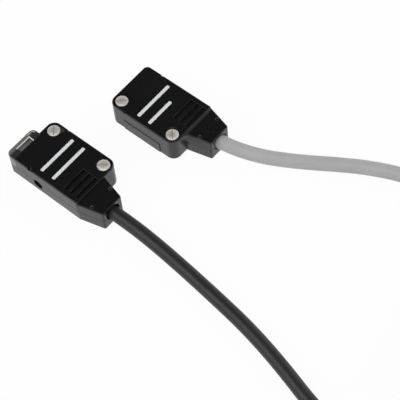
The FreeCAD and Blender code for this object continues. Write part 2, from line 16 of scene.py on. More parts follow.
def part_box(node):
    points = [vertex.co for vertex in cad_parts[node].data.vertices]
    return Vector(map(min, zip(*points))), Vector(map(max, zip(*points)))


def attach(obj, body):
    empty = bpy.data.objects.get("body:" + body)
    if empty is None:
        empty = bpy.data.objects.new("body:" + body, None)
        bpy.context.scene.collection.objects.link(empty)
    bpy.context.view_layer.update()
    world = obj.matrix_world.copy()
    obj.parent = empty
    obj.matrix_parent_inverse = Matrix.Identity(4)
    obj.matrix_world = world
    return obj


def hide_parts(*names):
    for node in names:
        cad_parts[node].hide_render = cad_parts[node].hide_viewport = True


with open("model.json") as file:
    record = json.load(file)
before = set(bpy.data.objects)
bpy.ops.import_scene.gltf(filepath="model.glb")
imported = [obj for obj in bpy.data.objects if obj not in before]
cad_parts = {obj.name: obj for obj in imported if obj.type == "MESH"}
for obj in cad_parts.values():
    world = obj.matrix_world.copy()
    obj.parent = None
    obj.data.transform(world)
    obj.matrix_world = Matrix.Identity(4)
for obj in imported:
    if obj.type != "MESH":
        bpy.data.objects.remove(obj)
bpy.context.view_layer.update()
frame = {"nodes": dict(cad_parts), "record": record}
scene = bpy.context.scene
MM = 0.001

# %% [markdown]
# ## Camera
# The photograph looks down on the pair from the cable side, with the camera held a little
# out of level. The place, the aim, the lens and that roll were solved from the housings'
# known corners, so each piece lands close to its own pixels.

# %% Camera
CAMERA_PLACE = Vector((-84.26, -100.74, 194.60)) * MM
CAMERA_AIM = Vector((0.971, -16.54, 0.0)) * MM
CAMERA_LENS = 123.64
CAMERA_SENSOR = 36.0
CAMERA_NEAREST = 0.01
CAMERA_ROLL = math.radians(-5.7)


def placed(name, data):
    """Puts a new object with this data into the scene."""
    made = bpy.data.objects.new(name, data)
    scene.collection.objects.link(made)
    return made


def aim(thing, direction, roll=0.0):
    """Turns a camera or a lamp so that it looks along a direction."""
    thing.rotation_mode = "QUATERNION"
    level_view = direction.to_track_quat("-Z", "Y")
    thing.rotation_quaternion = level_view @ Quaternion((0, 0, 1), roll)


camera_data = bpy.data.cameras.new("photo_camera")
camera_data.lens = CAMERA_LENS
camera_data.sensor_width = CAMERA_SENSOR
camera_data.clip_start = CAMERA_NEAREST
camera = placed("photo_camera", camera_data)
camera.location = CAMERA_PLACE
aim(camera, CAMERA_AIM - CAMERA_PLACE, CAMERA_ROLL)
scene.camera = camera
print("camera", round((CAMERA_AIM - CAMERA_PLACE).length / MM), "mm from its aim")

# %% [markdown]
# ## A helper for shader nodes
# Every finish below is a small node tree. One function adds a node with its settings,
# socket values and links, and another turns the sRGB hex colours that were read off
# into the linear values that Cycles works in.

# %% Node and colour helpers
def add_node(tree, kind, values=None, links=None, **settings):
    """Adds one shader node, fills its sockets and joins its inputs to other nodes' outputs."""
    made = tree.nodes.new("ShaderNode" + kind)
    for name, setting in settings.items():
        setattr(made, name, setting)
    for socket, value in (values or {}).items():
        made.inputs[socket].default_value = value
    for socket, source in (links or {}).items():
        tree.links.new(source, made.inputs[socket])
    return made


def linear(hex_code):
    """Linear RGBA of an sRGB hex colour."""
    channels = [int(hex_code[i:i + 2], 16) / 255 for i in (1, 3, 5)]
    bright = [c / 12.92 if c <= 0.04045 else ((c + 0.055) / 1.055) ** 2.4 for c in channels]
    return (*bright, 1.0)


def per_mm(size_mm):
    """Scale of a texture on Object coordinates, which are in metres, for a feature of that size."""
    return 1 / (size_mm * MM)


print("mid grey is", round(linear("#808080")[0], 3), "linear")

# %% [markdown]
# ## Floor
# The pair lies on a white table in a light tent. The floor is a white matt surface that
# also shows itself as plain white to the camera and to reflections, so that it stays white
# while it keeps the housings' soft shadow.

# %% Floor
FLOOR_SIZE = 6.0
FLOOR_WHITE = "#f4f4f4"
FLOOR_GLOW_SHARE = 0.95
PLAIN_WHITE = (1, 1, 1, 1)


def seen_directly(tree):
    """1 for rays from the camera, from reflections and through clear pieces, else 0."""
    path = add_node(tree, "LightPath")
    gloss = add_node(tree, "Math", operation="MAXIMUM", links={
        0: path.outputs["Is Camera Ray"], 1: path.outputs["Is Glossy Ray"]})
    return add_node(tree, "Math", operation="MAXIMUM", links={
        0: gloss.outputs[0], 1: path.outputs["Is Transmission Ray"]}).outputs[0]


def table_white():
    """Matt white laminate: pale, even, and only a shade darker where something stands on it."""
    material = bpy.data.materials.new("white_laminate")
    material.use_nodes = True
    tree = material.node_tree
    tree.nodes.clear()
    matt = add_node(tree, "BsdfDiffuse", values={"Color": linear(FLOOR_WHITE)})
    glow = add_node(tree, "Emission", values={"Color": PLAIN_WHITE, "Strength": 1.0})
    share = add_node(tree, "Math", operation="MULTIPLY", values={1: FLOOR_GLOW_SHARE},
                     links={0: seen_directly(tree)})
    both = add_node(tree, "MixShader", links={
        0: share.outputs[0], 1: matt.outputs[0], 2: glow.outputs[0]})
    add_node(tree, "OutputMaterial", links={"Surface": both.outputs[0]})
    return material


floor_mesh = bpy.data.meshes.new("floor")
floor_shape = bmesh.new()
bmesh.ops.create_grid(floor_shape, x_segments=1, y_segments=1, size=FLOOR_SIZE / 2)
floor_shape.to_mesh(floor_mesh)
floor_shape.free()
floor_mesh.materials.append(table_white())
floor = placed("floor", floor_mesh)
print("floor", FLOOR_SIZE, "m wide")

# %% [markdown]
# ## Sky
# The tent's walls are bright and its roof is dark: black side walls then mirror white and
# read as grey, while the flat tops mirror the dark roof and stay near black.

# %% Sky
TENT_WALL_LEVEL = 0.85
TENT_ROOF_LEVEL = 0.08
TENT_WALL_TOP = 0.35
TENT_ROOF_EDGE = 0.75

world = bpy.data.worlds.new("studio")
world.use_nodes = True
scene.world = world
sky = world.node_tree
sky.nodes.clear()
sky_place = add_node(sky, "TexCoord").outputs["Generated"]
sky_height = add_node(sky, "SeparateXYZ", links={0: sky_place}).outputs["Z"]
tent_level = add_node(sky, "MapRange", interpolation_type="SMOOTHSTEP", links={"Value": sky_height},
                      values={"From Min": TENT_WALL_TOP, "From Max": TENT_ROOF_EDGE,
                              "To Min": TENT_WALL_LEVEL, "To Max": TENT_ROOF_LEVEL})
tent = add_node(sky, "Background", values={"Color": PLAIN_WHITE},
                links={"Strength": tent_level.outputs["Result"]})
white = add_node(sky, "Background", values={"Color": PLAIN_WHITE, "Strength": 1.0})
sky_mix = add_node(sky, "MixShader", links={
    0: add_node(sky, "LightPath").outputs["Is Camera Ray"], 1: tent.outputs[0], 2: white.outputs[0]})
add_node(sky, "OutputWorld", links={"Surface": sky_mix.outputs[0]})
scene.view_settings.view_transform = "Standard"
wall_share = ((TENT_WALL_TOP + TENT_ROOF_EDGE) / 2) ** 2
tent_light = TENT_WALL_LEVEL * wall_share + TENT_ROOF_LEVEL * (1 - wall_share)
print("the tent alone gives a white card", round(tent_light, 2))

# %% [markdown]
# ## Lamps
# Three large soft discs shape the pair. They stand outside the direction that the flat tops
# mirror, so they light the print and the screws and leave the tops dark.

# %% Soft lamps
LAMP_DISTANCE = 0.6
LAMP_SIZE = 0.45
LAMPS = {
    "lamp_left": ((-0.60, 0.30, 0.74), 1.1),
    "lamp_right": ((0.70, -0.35, 0.62), 0.9),
    "lamp_above": ((-0.25, -0.28, 0.93), 1.2),
}
card_level = tent_light
for lamp_name, (lamp_direction, power) in LAMPS.items():
    lamp_data = bpy.data.lights.new(lamp_name, "AREA")
    lamp_data.shape = "DISK"
    lamp_data.size = LAMP_SIZE
    lamp_data.energy = power
    lamp = placed(lamp_name, lamp_data)
    towards = Vector(lamp_direction).normalized()
    lamp.location = CAMERA_AIM + towards * LAMP_DISTANCE
    aim(lamp, -towards)
    card_level += power * towards.z / (math.pi ** 2 * LAMP_DISTANCE ** 2)
print("a white card on the floor would show about", round(card_level, 2))

# %% [markdown]
# ## Finishes
# Each finish starts from what the real material is and how its surface was made. All begin
# with a Principled shader and Object coordinates. Moulded and extruded plastics share two
# habits, so each habit is a function: their colour clouds a little, and their gloss is uneven.

# %% Start of a finish
PALE_FROM = 0.7


def new_finish(name):
    """A material with an empty tree, its Principled shader and its Object coordinates."""
    material = bpy.data.materials.new(name)
    material.use_nodes = True
    tree = material.node_tree
    tree.nodes.clear()
    shader = add_node(tree, "BsdfPrincipled")
    add_node(tree, "OutputMaterial", links={"Surface": shader.outputs[0]})
    place = add_node(tree, "TexCoord").outputs["Object"]
    return material, tree, shader, place


def clouded_tint(tree, shader, place, shades, patch_mm, detail=3.0, dark_until=0.3):
    """Colours a shader in two shades that cloud into each other in patches of a real size."""
    cloud = add_node(tree, "TexNoise", values={"Scale": per_mm(patch_mm), "Detail": detail},
                     links={"Vector": place})
    tint = add_node(tree, "ValToRGB", links={"Fac": cloud.outputs["Fac"]})
    for stop, position, shade in zip(tint.color_ramp.elements, (dark_until, PALE_FROM), shades):
        stop.position = position
        stop.color = linear(shade)
    tree.links.new(tint.outputs["Color"], shader.inputs["Base Color"])


def uneven_gloss(tree, shader, place, grain_mm, detail, roughness):
    """Lets a grain of a real size change the gloss between two roughness values."""
    grain = add_node(tree, "TexNoise", values={"Scale": per_mm(grain_mm), "Detail": detail},
                     links={"Vector": place})
    dull = add_node(tree, "MapRange", links={"Value": grain.outputs["Fac"]},
                    values={"To Min": roughness[0], "To Max": roughness[1]})
    tree.links.new(dull.outputs["Result"], shader.inputs["Roughness"])
    return grain


def raised_grain(tree, shader, grain, strength, height_mm):
    """Raises the same grain as a low bump."""
    bump = add_node(tree, "Bump", values={"Strength": strength, "Distance": height_mm * MM},
                    links={"Height": grain.outputs["Fac"]})
    tree.links.new(bump.outputs["Normal"], shader.inputs["Normal"])


print("a grain of 0.3 mm has the scale", round(per_mm(0.3)))

# %% [markdown]
# ### Housing plastic
# The cases and covers are injection moulded. A plain black would look cut out of paper, so
# the satin grain of the mould's surface is there as uneven gloss and as a very low bump.

# %% Moulded housing
PBT_SHADES = ("#08080a", "#0c0c0d")
PBT_IOR = 1.47


def moulded_pbt():
    """Glass-filled PBT from a spark-eroded mould: near black, satin, with a fine even grain."""
    material, tree, shader, place = new_finish("moulded_pbt_black")
    clouded_tint(tree, shader, place, PBT_SHADES, patch_mm=5.0, detail=2.0, dark_until=0.35)
    grain = uneven_gloss(tree, shader, place, grain_mm=0.3, detail=3.0, roughness=(0.22, 0.34))
    raised_grain(tree, shader, grain, strength=0.35, height_mm=0.006)
    shader.inputs["IOR"].default_value = PBT_IOR
    return material


finishes = {"housing": moulded_pbt()}
print("housing in", finishes["housing"].name)

# %% [markdown]
# ### Smoky polycarbonate
# The receiver's block is clear but tinted, and its colour carries painted light and shade: dark
# where the dark inside would show through it, pale where the tent's light would come through.
# Three ranges along the object's own axes say where this painted shade turns from dark to pale,
# in millimetres. It stays on the piece in every view, unlike one that is worked out from the camera.

# %% Tinted block
# Dark and pale ends of the painted light and shade in the block's colour
SMOKE_PAINTED_SHADES = ("#2b2b2a", "#6a6a67")
SMOKE_PAINTED_SHADE_RANGES = {"X": (-8.4, -9.4), "Y": (11.75, 12.15), "Z": (4.7, 3.0)}
SMOKE_IOR = 1.58


def smoky_polymer():
    """Polished smoke-tinted polycarbonate, with painted shade over the dark inside and painted light at
    the front.
    """
    material, tree, shader, place = new_finish("smoky_polycarbonate_painted_light")
    axes = add_node(tree, "SeparateXYZ", links={0: place})
    pale = {}
    for axis, (dark_at, pale_at) in SMOKE_PAINTED_SHADE_RANGES.items():
        span = add_node(tree, "MapRange", links={"Value": axes.outputs[axis]},
                        values={"From Min": dark_at * MM, "From Max": pale_at * MM})
        pale[axis] = span.outputs["Result"]
    painted_lit = add_node(tree, "Math", operation="MAXIMUM", links={0: pale["Y"], 1: pale["Z"]})
    clear = add_node(tree, "Math", operation="MULTIPLY", links={0: painted_lit.outputs[0], 1: pale["X"]})
    tint = add_node(tree, "ValToRGB", links={"Fac": clear.outputs[0]})
    for stop, shade in zip(tint.color_ramp.elements, SMOKE_PAINTED_SHADES):
        stop.color = linear(shade)
    tree.links.new(tint.outputs["Color"], shader.inputs["Base Color"])
    uneven_gloss(tree, shader, place, grain_mm=1.2, detail=2.0, roughness=(0.08, 0.16))
    shader.inputs["IOR"].default_value = SMOKE_IOR
    return material


finishes["lens"] = smoky_polymer()
print("clear block in", finishes["lens"].name)

# %% [markdown]
# ### Plated screws
# The heads are the brightest spots of the pair. A mirror would show hard reflections that a
# tumbled screw doesn't have, so the metal is fairly rough and its shade varies in fine marks.

# %% Plated screws
NICKEL_DARK = "#dcd9d1"
NICKEL_PALE = "#eeebe4"


def nickel_screw():
    """Nickel-plated steel, turned and barrel-finished: bright, rather rough, with fine marks."""
    material, tree, shader, place = new_finish("nickel_plated_steel")
    marks = uneven_gloss(tree, shader, place, grain_mm=0.35, detail=4.0, roughness=(0.38, 0.55))
    tint = add_node(tree, "MapRange", data_type="FLOAT_VECTOR", links={"Vector": marks.outputs["Color"]},
                    values={"To Min": linear(NICKEL_DARK)[:3], "To Max": linear(NICKEL_PALE)[:3]})
    tree.links.new(tint.outputs["Vector"], shader.inputs["Base Color"])
    shader.inputs["Metallic"].default_value = 1.0
    return material


finishes["screw"] = nickel_screw()
print("screws in", finishes["screw"].name)

# %% [markdown]
# ### Cable jackets
# Both jackets are the same extruded PVC in two colours, so one function makes both.

# %% Cable jackets
PVC_GLOSS_SPREAD = 0.06


def extruded_pvc(name, shades, roughness):
    """Extruded PVC jacket: satin, with a faint grain and slow changes of shade along it."""
    material, tree, shader, place = new_finish(name)
    clouded_tint(tree, shader, place, shades, patch_mm=3.0)
    grain = uneven_gloss(tree, shader, place, grain_mm=0.25, detail=2.0,
                         roughness=(roughness - PVC_GLOSS_SPREAD, roughness + PVC_GLOSS_SPREAD))
    raised_grain(tree, shader, grain, strength=0.3, height_mm=0.01)
    return material


finishes["black_jacket"] = extruded_pvc("extruded_pvc_black", ("#171718", "#1c1c1d"), 0.42)
finishes["grey_jacket"] = extruded_pvc("extruded_pvc_grey", ("#a9a9a9", "#afafaf"), 0.5)
print("jackets in", finishes["black_jacket"].name, "and", finishes["grey_jacket"].name)

# %% [markdown]
# ### Small pieces
# The rest are small or hidden, and one simple finish serves them all: two close shades that
# cloud at the material's own grain, and one roughness. Each entry names its material and
# gives its shades, its roughness, the size of its grain in millimetres and, for a metal, 1.

# %% Small pieces
SMALL_FINISHES = {
    # Solder resist: an even green with a soft sheen
    "board": ("solder_resist_green", "#0f3d22", "#16502d", 0.35, 1.0, 0),
    # Fired ceramic: dry and tan
    "ceramic": ("fired_ceramic", "#8f7a5c", "#a68d6b", 0.5, 0.3, 0),
    # Epoxies: dull round the chips, glossy on the optics and the two lamps
    "chip": ("epoxy_black", "#18181a", "#202022", 0.5, 0.4, 0),
    "optic": ("epoxy_dark", "#2a2024", "#3a2c32", 0.15, 0.6, 0),
    "orange_lamp": ("epoxy_orange", "#d9731c", "#e88a35", 0.2, 0.3, 0),
    "green_lamp": ("epoxy_green", "#4fae4f", "#66c266", 0.2, 0.3, 0),
    # Core insulation and the strap: plain satin plastics
    "brown_core": ("pvc_core_brown", "#5a3318", "#6a3d1e", 0.4, 0.5, 0),
    "blue_core": ("pvc_core_blue", "#1f4fa8", "#275bbb", 0.4, 0.5, 0),
    "black_core": ("pvc_core_black", "#161617", "#202021", 0.4, 0.5, 0),
    "tie": ("nylon_black", "#161617", "#1f1f20", 0.5, 0.5, 0),
    # Bare metals: warm copper strands, and a screw's slot, rougher and painted a little darker as shade
    "copper": ("bare_copper", "#b0703f", "#c98a58", 0.35, 0.2, 1),
    "slot_shade": ("steel_with_painted_slot_shade", "#c2bfb8", "#ccc9c2", 0.6, 0.3, 1),
    # Polycarbonate of the clear block: frosted in its pocket, painted pale as highlights on its pocket
    # edges and ring, and painted dark as shade on its outline
    "pocket": ("frosted_polycarbonate", "#6c6c69", "#787875", 0.35, 0.8, 0),
    "painted_highlight_edge": ("polycarbonate_edge_painted_highlight", "#cfcfca", "#dcdcd8", 0.2, 0.6, 0),
    "painted_highlight_ring": ("polycarbonate_ring_painted_highlight", "#b0b0ab", "#bebeb9", 0.2, 0.6, 0),
    "painted_shade_outline": ("polycarbonate_outline_painted_shade", "#2c2c2b", "#363635", 0.6, 0.6, 0),
    # Rubber and ink: a black that takes little light, and a matt white
    "seal": ("nitrile_rubber_black", "#0e0e0f", "#141415", 0.45, 0.5, 0),
    "print": ("pad_print_white", "#d3d8db", "#dfe3e5", 0.45, 0.4, 0),
}


def plain_moulding(name, dark, pale, roughness, grain_mm, metallic):
    """Small moulded, fired or coated pieces: one colour that clouds a little at its own grain."""
    material, tree, shader, place = new_finish(name)
    clouded_tint(tree, shader, place, (dark, pale), patch_mm=grain_mm)
    shader.inputs["Roughness"].default_value = roughness
    shader.inputs["Metallic"].default_value = metallic
    return material


for finish_name, facts in SMALL_FINISHES.items():
    finishes[finish_name] = plain_moulding(*facts)
for entry in frame["record"]["subparts"]:
    for material_slot in frame["nodes"][entry["node"]].material_slots:
        material_slot.material = finishes[entry["material_slot"]]

# %% [markdown]
# ## Small moulded pieces
# Each small piece below starts as a simple bmesh shape in millimetres, is cut and rounded with
# operators, and is brought to metres at the end. Working in millimetres keeps the bevels
# well above the sizes at which the operators lose precision.

# %% Helpers for small pieces
SAME_PLACE = 1e-4
SCORE_PRECISION = SAME_PLACE / 10


def block_shape(low, high):
    """A bmesh block between two corners, in millimetres."""
    shape = bmesh.new()
    bmesh.ops.create_cube(shape, size=1)
    bmesh.ops.scale(shape, vec=high - low, verts=shape.verts)
    bmesh.ops.translate(shape, vec=(low + high) / 2, verts=shape.verts)
    return shape


def round_edges(shape, edges, offset, segments):
    """Rounds these edges and returns the new faces."""
    made = bmesh.ops.bevel(shape, geom=edges, offset=offset, offset_type="OFFSET", affect="EDGES",
                           segments=segments, profile=0.5, material=-1)
    return made["faces"]


def score(shape, place, direction):
    """Cuts new edges into the whole shape where a plane crosses it."""
    everything = shape.verts[:] + shape.edges[:] + shape.faces[:]
    bmesh.ops.bisect_plane(shape, geom=everything, dist=SCORE_PRECISION,
                           plane_co=place, plane_no=direction)


def upright_edges(shape):
    """The edges that stand straight up."""
    return [edge for edge in shape.edges
            if (edge.verts[0].co - edge.verts[1].co).xy.length < SAME_PLACE]


def edges_at_height(shape, height):
    """The edges that lie level at a height."""
    return [edge for edge in shape.edges
            if all(abs(vert.co.z - height) < SAME_PLACE for vert in edge.verts)]


def only(kind, parts):
    """Those parts of an operator's result that are of one kind."""
    return [part for part in parts if isinstance(part, kind)]


def finished(shape, name, *finish_names):
    """Turns a bmesh in millimetres into a piece of the object that wears these finishes."""
    bmesh.ops.scale(shape, vec=(MM, MM, MM), verts=shape.verts)
    bmesh.ops.recalc_face_normals(shape, faces=shape.faces)
    data = bpy.data.meshes.new(name)
    shape.to_mesh(data)
    shape.free()
    for finish in finish_names:
        data.materials.append(finishes[finish])
    piece = placed(name, data)
    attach(piece, "root")
    return piece


print("points within", SAME_PLACE, "mm count as one place")

# %% [markdown]
# ## Moulded cases
# The three grips in the top of each case have edges that a mould never leaves quite sharp, and
# those edges show as thin pale lines. The CAD mesh itself stays as it is: a copy is merged,
# its flat faces are joined, and the rims of the grooves are bevelled.

# %% Cases with broken groove edges
CASE_TOP = 5.0
GROOVE_EDGE = 0.08
GROOVE_EDGE_STEPS = 2
GROOVE_ANGLE = math.radians(60)
GROOVE_REACH = 4.0
FLAT_ANGLE = math.radians(0.5)
CURVE_ANGLE = math.radians(30)
CASE_SHOULDERS = {"receiver": -3.32, "emitter": -8.38}


def shade_curves(piece):
    """Shades curved faces smooth, and keeps flat faces flat and sharp edges sharp."""
    piece.data.shade_smooth()
    piece.data.set_sharp_from_angle(angle=CURVE_ANGLE)
    flat_faces = piece.modifiers.new("flat_faces_stay_flat", "WEIGHTED_NORMAL")
    flat_faces.keep_sharp = True


def dressed_case(unit):
    """A merged copy of a case with its groove rims bevelled."""
    shape = bmesh.new()
    shape.from_mesh(frame["nodes"][unit + "_case"].data)
    bmesh.ops.scale(shape, vec=(1 / MM, 1 / MM, 1 / MM), verts=shape.verts)
    bmesh.ops.remove_doubles(shape, verts=shape.verts, dist=SAME_PLACE)
    bmesh.ops.dissolve_limit(shape, angle_limit=FLAT_ANGLE, verts=shape.verts, edges=shape.edges)
    shoulder = CASE_SHOULDERS[unit]
    rims = []
    for edge in edges_at_height(shape, CASE_TOP):
        in_reach = all(shoulder < vert.co.y < shoulder + GROOVE_REACH for vert in edge.verts)
        if in_reach and len(edge.link_faces) == 2 and edge.calc_face_angle() > GROOVE_ANGLE:
            rims.append(edge)
    round_edges(shape, rims, GROOVE_EDGE, GROOVE_EDGE_STEPS)
    piece = finished(shape, unit + "_moulded_case", "housing")
    shade_curves(piece)
    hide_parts(unit + "_case")
    return len(rims)


for unit in CASE_SHOULDERS:
    print(unit, "case with", dressed_case(unit), "groove edges bevelled")

# %% [markdown]
# ## Mounting screws
# The screws are small turned pieces with crowned, plated heads, and a CAD mesh of such a crown
# is too coarse to mirror the tent evenly. So each screw is made as on a lathe: half of its
# outline is spun round the axis.

# %% Turned screws
HEAD_TOP = 5.12
HEAD_RADIUS = 1.15
HEAD_RIM = 0.06
HEAD_SEAT = 4.12
CROWN_RISE = 0.2
CROWN_STEPS = 8
SHANK_RADIUS = 0.7
SHANK_TIP = 0.3
LATHE_STEPS = 64


def crown_height(radius):
    """Height of the crown, a shallow dome, at a distance from the axis."""
    return HEAD_TOP - CROWN_RISE * (radius / HEAD_RADIUS) ** 2


def turned_screw():
    """A screw without its slot, round the Z axis."""
    crown = [(HEAD_RADIUS - HEAD_RIM) * step / CROWN_STEPS for step in range(CROWN_STEPS + 1)]
    outline = [(radius, crown_height(radius)) for radius in crown]
    outline += [(HEAD_RADIUS, crown_height(HEAD_RADIUS) - HEAD_RIM), (HEAD_RADIUS, HEAD_SEAT),
                (SHANK_RADIUS, HEAD_SEAT), (SHANK_RADIUS, SHANK_TIP), (0, SHANK_TIP)]
    shape = bmesh.new()
    verts = [shape.verts.new((radius, 0, height)) for radius, height in outline]
    edges = [shape.edges.new(pair) for pair in zip(verts, verts[1:])]
    bmesh.ops.spin(shape, geom=verts + edges, cent=(0, 0, 0), axis=(0, 0, 1), dvec=(0, 0, 0),
                   angle=2 * math.pi, steps=LATHE_STEPS, use_merge=True, use_duplicate=False)
    bmesh.ops.remove_doubles(shape, verts=shape.verts, dist=SAME_PLACE)
    bmesh.ops.recalc_face_normals(shape, faces=shape.faces)
    return shape


print("a screw is", round(HEAD_TOP - SHANK_TIP, 2), "mm long")

# %% [markdown]
# ### Slots
# A slot is marked out with two planes across the crown and sunk. Its floor and walls get a
# finish of their own: rougher than the crown, and a little darker as painted shade.

# %% Slots and places of the screws
SLOT_WIDTH = 0.2
SLOT_DEPTH = 0.18
SLOT_REACH = 1.0
# Index of the slot's finish, a darker steel that is painted shade in the slot
SLOT_SHADE_FINISH = 1
FACES_UP = 0.9
SLOT_TURNS = {"receiver": (130, 42), "emitter": (42, 130)}


def sink_slot(shape):
    """Sinks a slot along X into the crown and marks its faces."""
    for side in (-1, 1):
        score(shape, (0, side * SLOT_WIDTH / 2, 0), (0, 1, 0))
    mouth = []
    for face in shape.faces:
        middle = face.calc_center_median()
        if face.normal.z > FACES_UP and abs(middle.y) < SLOT_WIDTH / 2 and abs(middle.x) < SLOT_REACH:
            mouth.append(face)
    crown_faces = set(shape.faces) - set(mouth)
    sunk = bmesh.ops.extrude_face_region(shape, geom=mouth)["geom"]
    bmesh.ops.delete(shape, geom=mouth, context="FACES_ONLY")
    for vert in only(bmesh.types.BMVert, sunk):
        vert.co.z = HEAD_TOP - SLOT_DEPTH
    for face in set(shape.faces) - crown_faces:
        face.material_index = SLOT_SHADE_FINISH


def slotted_screws(unit):
    """Both screws of a unit, each in its hole with its own turn of the slot."""
    low, high = [corner / MM for corner in map(Vector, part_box(unit + "_mounting_screws"))]
    places = (low.y + HEAD_RADIUS, high.y - HEAD_RADIUS)
    both = bpy.data.meshes.new(unit + "_screw_pair")
    for place, turn in zip(places, SLOT_TURNS[unit]):
        shape = turned_screw()
        sink_slot(shape)
        bmesh.ops.rotate(shape, verts=shape.verts, cent=Vector(),
                         matrix=Matrix.Rotation(math.radians(turn), 3, "Z"))
        bmesh.ops.translate(shape, vec=((low.x + high.x) / 2, place, 0), verts=shape.verts)
        shape.from_mesh(both)
        shape.to_mesh(both)
        shape.free()
    shape = bmesh.new()
    shape.from_mesh(both)
    bpy.data.meshes.remove(both)
    piece = finished(shape, unit + "_slotted_screws", "screw", "slot_shade")
    shade_curves(piece)
    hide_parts(unit + "_mounting_screws")
    return len(piece.data.polygons)


for unit in SLOT_TURNS:
    print(unit, "screws with", slotted_screws(unit), "faces")

# %% [markdown]
# ## Clear block
# The receiver looks out through a block of smoke-tinted polycarbonate, with a pocket behind
# its front wall for the detector and the lamps. A true glass shader shows little but the
# black inside, so the block is made the way the eye reads it: a tinted body whose colour carries
# painted light and shade, an open pocket with frosted walls, and edges painted pale as highlights
# where the tent's light would catch them. The body comes first: a block with round front
# corners, a rounded rim and two inset rings; the rim and the outer ring are painted dark as shade,
# and the inner ring is painted pale as a highlight.

# %% Body of the clear block
BLOCK_CORNER = 0.95
BLOCK_CORNER_STEPS = 8
BLOCK_EDGE = 0.2
BLOCK_EDGE_STEPS = 3
BLOCK_OUTLINE = 0.08
BLOCK_RIM = 0.16
DOME_HEIGHT = 0.2
SQUARE_ON = 0.99
# The block's finishes: the tint carries painted light and shade, the edge and the ring are painted
# highlights, and the outline is painted shade
BLOCK_FINISHES = ("lens", "pocket", "painted_highlight_edge", "painted_highlight_ring", "painted_shade_outline")
TINTED, FROSTED, PAINTED_HIGHLIGHT_EDGE, PAINTED_HIGHLIGHT_RING, PAINTED_SHADE_OUTLINE = range(len(BLOCK_FINISHES))

block_low, block_high = [corner / MM for corner in map(Vector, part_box("receiver_lens_block"))]
block_front = block_high.y - DOME_HEIGHT
block_top = block_high.z


def mark(faces, finish):
    """Gives faces one of the block's finishes."""
    for face in faces:
        face.material_index = finish


def clear_body():
    """The tinted body, with an outline painted dark as shade and a ring painted pale as a highlight on
    its top.
    """
    shape = block_shape(block_low, Vector((block_high.x, block_front, block_top)))
    front_corners = [edge for edge in upright_edges(shape)
                     if abs(edge.verts[0].co.y - block_front) < SAME_PLACE]
    round_edges(shape, front_corners, BLOCK_CORNER, BLOCK_CORNER_STEPS)
    rim = [edge for edge in edges_at_height(shape, block_top)
           if any(vert.co.y > block_low.y + SAME_PLACE for vert in edge.verts)]
    outline = round_edges(shape, rim, BLOCK_EDGE, BLOCK_EDGE_STEPS)
    lid = [face for face in shape.faces if face.normal.z > SQUARE_ON
           and abs(face.calc_center_median().z - block_top) < SAME_PLACE]
    outline += bmesh.ops.inset_region(shape, faces=lid, thickness=BLOCK_OUTLINE)["faces"]
    ring = bmesh.ops.inset_region(shape, faces=lid, thickness=BLOCK_RIM)["faces"]
    mark(outline, PAINTED_SHADE_OUTLINE)
    mark(ring, PAINTED_HIGHLIGHT_RING)
    return shape


block = clear_body()
print("body of the clear block with", len(block.faces), "faces")

# %% [markdown]
# ### Pocket of the clear block
# Four planes score the pocket's outline into the top, and the faces between them are sunk.
# The painted pale ring and the painted dark outline show only at the corner beside the pocket,
# so the rest of them goes back to the tint, and the two pocket edges that face the light are
# bevelled and painted pale as highlights.

# %% Pocket and its edges
POCKET_LEFT = 1.8
POCKET_RIGHT = 4.75
POCKET_REAR = 0.15
POCKET_FRONT = 1.13
POCKET_DEPTH = 0.7
POCKET_EDGE = 0.14

pocket_low = Vector((block_low.x + POCKET_LEFT, block_low.y + POCKET_REAR, block_top))
pocket_high = Vector((block_low.x + POCKET_RIGHT, block_low.y + POCKET_FRONT, block_top))


def over_pocket(point, margin=0.0):
    """Whether a point lies within the pocket's outline, seen from above."""
    return (pocket_low.x - margin < point.x < pocket_high.x + margin
            and pocket_low.y - margin < point.y < pocket_high.y + margin)


def sink_pocket(shape):
    """Sinks the pocket into the top and frosts its walls and floor."""
    for place in (pocket_low, pocket_high):
        for direction in (Vector((1, 0, 0)), Vector((0, 1, 0))):
            score(shape, place, direction)
    mouth = []
    for face in shape.faces:
        middle = face.calc_center_median()
        if over_pocket(middle) and abs(middle.z - block_top) < SAME_PLACE:
            mouth.append(face)
    sunk = bmesh.ops.extrude_face_region(shape, geom=mouth)["geom"]
    bmesh.ops.translate(shape, vec=(0, 0, -POCKET_DEPTH), verts=only(bmesh.types.BMVert, sunk))
    bmesh.ops.delete(shape, geom=mouth, context="FACES_ONLY")
    for face in shape.faces:
        middle = face.calc_center_median()
        sunken = block_top - POCKET_DEPTH - SAME_PLACE < middle.z < block_top - SAME_PLACE
        if sunken and over_pocket(middle, SAME_PLACE):
            face.material_index = FROSTED


def keep_corner_rings(shape):
    """Keeps the painted ring and the painted outline only at the corner."""
    corner_start = block_low.y + (pocket_high.y - block_low.y) / 2
    for face in shape.faces:
        middle = face.calc_center_median()
        at_corner = middle.x > pocket_high.x and middle.y > corner_start
        if face.material_index in (PAINTED_HIGHLIGHT_RING, PAINTED_SHADE_OUTLINE) and not at_corner:
            face.material_index = TINTED


def paint_pocket_edge_highlights(shape):
    """Bevels the pocket's front and right edges and paints them pale as highlights."""
    painted_lit = []
    for edge in edges_at_height(shape, block_top):
        middle = (edge.verts[0].co + edge.verts[1].co) / 2
        on_front = abs(middle.y - pocket_high.y) < SAME_PLACE and pocket_low.x < middle.x < pocket_high.x
        on_right = abs(middle.x - pocket_high.x) < SAME_PLACE and pocket_low.y < middle.y < pocket_high.y
        if on_front or on_right:
            painted_lit.append(edge)
    mark(round_edges(shape, painted_lit, POCKET_EDGE, 1), PAINTED_HIGHLIGHT_EDGE)


sink_pocket(block)
keep_corner_rings(block)
paint_pocket_edge_highlights(block)
print("with its pocket", len(block.faces), "faces")

# %% [markdown]
# ### Lens of the clear block
# A shallow dome on the front gathers the beam. It is a flattened sphere, half inside the wall.

